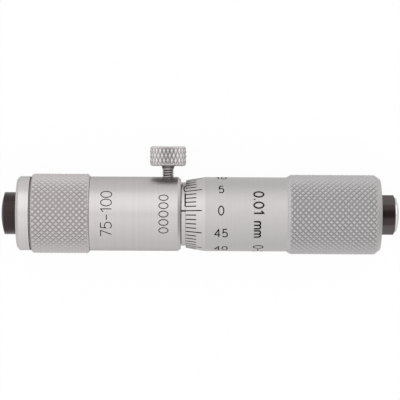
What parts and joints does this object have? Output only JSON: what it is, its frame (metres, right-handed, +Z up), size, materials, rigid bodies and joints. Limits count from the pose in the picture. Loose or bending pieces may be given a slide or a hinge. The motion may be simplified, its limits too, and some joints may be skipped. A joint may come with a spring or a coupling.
{
  "type": "inside micrometer",
  "caption": "Tubular inside micrometer with a domed fixed contact, knurled barrel and clamp screw, and a graduated knurled thimble that winds a hexagonal contact out along its axis.",
  "frame": {"origin": "on the measuring axis, at the tip of the fixed contact's domed face", "axes": "+X along the measuring axis towards the moving contact, +Z up from the surface that the instrument lies on, +Y towards the side where the clamp screw points out and down to that surface"},
  "size_m": [0.075, 0.0205, 0.015],
  "materials": {
    "satin_chrome": "satin chrome plate",
    "black_oxide": "black oxide",
    "ground_steel": "ground",
    "polished_carbide": "polished",
    "pad_brass": "turned"
  },
  "bodies": {
    "barrel_group": {"barrel": "satin_chrome", "end_cap": "satin_chrome", "fixed_contact": "black_oxide", "inner_sleeve": "ground_steel", "scale_sleeve": "satin_chrome", "adjusting_nut": "ground_steel"},
    "tip_slide": {"contact_tip": "polished_carbide"},
    "thimble_group": {"spindle": "ground_steel", "thimble": "satin_chrome", "moving_contact": "black_oxide"},
    "pad_slide": {"clamp_pad": "pad_brass"},
    "clamp_knob": {"clamp_screw": "satin_chrome"}
  },
  "joints": [
    {"name": "thimble_feed", "type": "slide", "parent": "barrel_group", "child": "tip_slide", "axis": [1, 0, 0], "range_m": [0, 0.025]},
    {"name": "thimble_turn", "type": "hinge", "parent": "tip_slide", "child": "thimble_group", "pos_m": [0.05, 0, 0], "axis": [1, 0, 0], "range_deg": [0, 18000]},
    {"name": "clamp_feed", "type": "slide", "parent": "barrel_group", "child": "pad_slide", "axis": [0, 0.9394, -0.3427], "range_m": [-0.0001125, 0.00045]},
    {"name": "clamp_turn", "type": "hinge", "parent": "pad_slide", "child": "clamp_knob", "pos_m": [0.03138, 0, 0], "axis": [0, 0.9394, -0.3427], "range_deg": [-90, 360]}
  ],
  "couplings": [
    {"joint": "thimble_turn", "follows": "thimble_feed", "rad_per_m": 12566},
    {"joint": "clamp_turn", "follows": "clamp_feed", "rad_per_m": 13963}
  ]
}
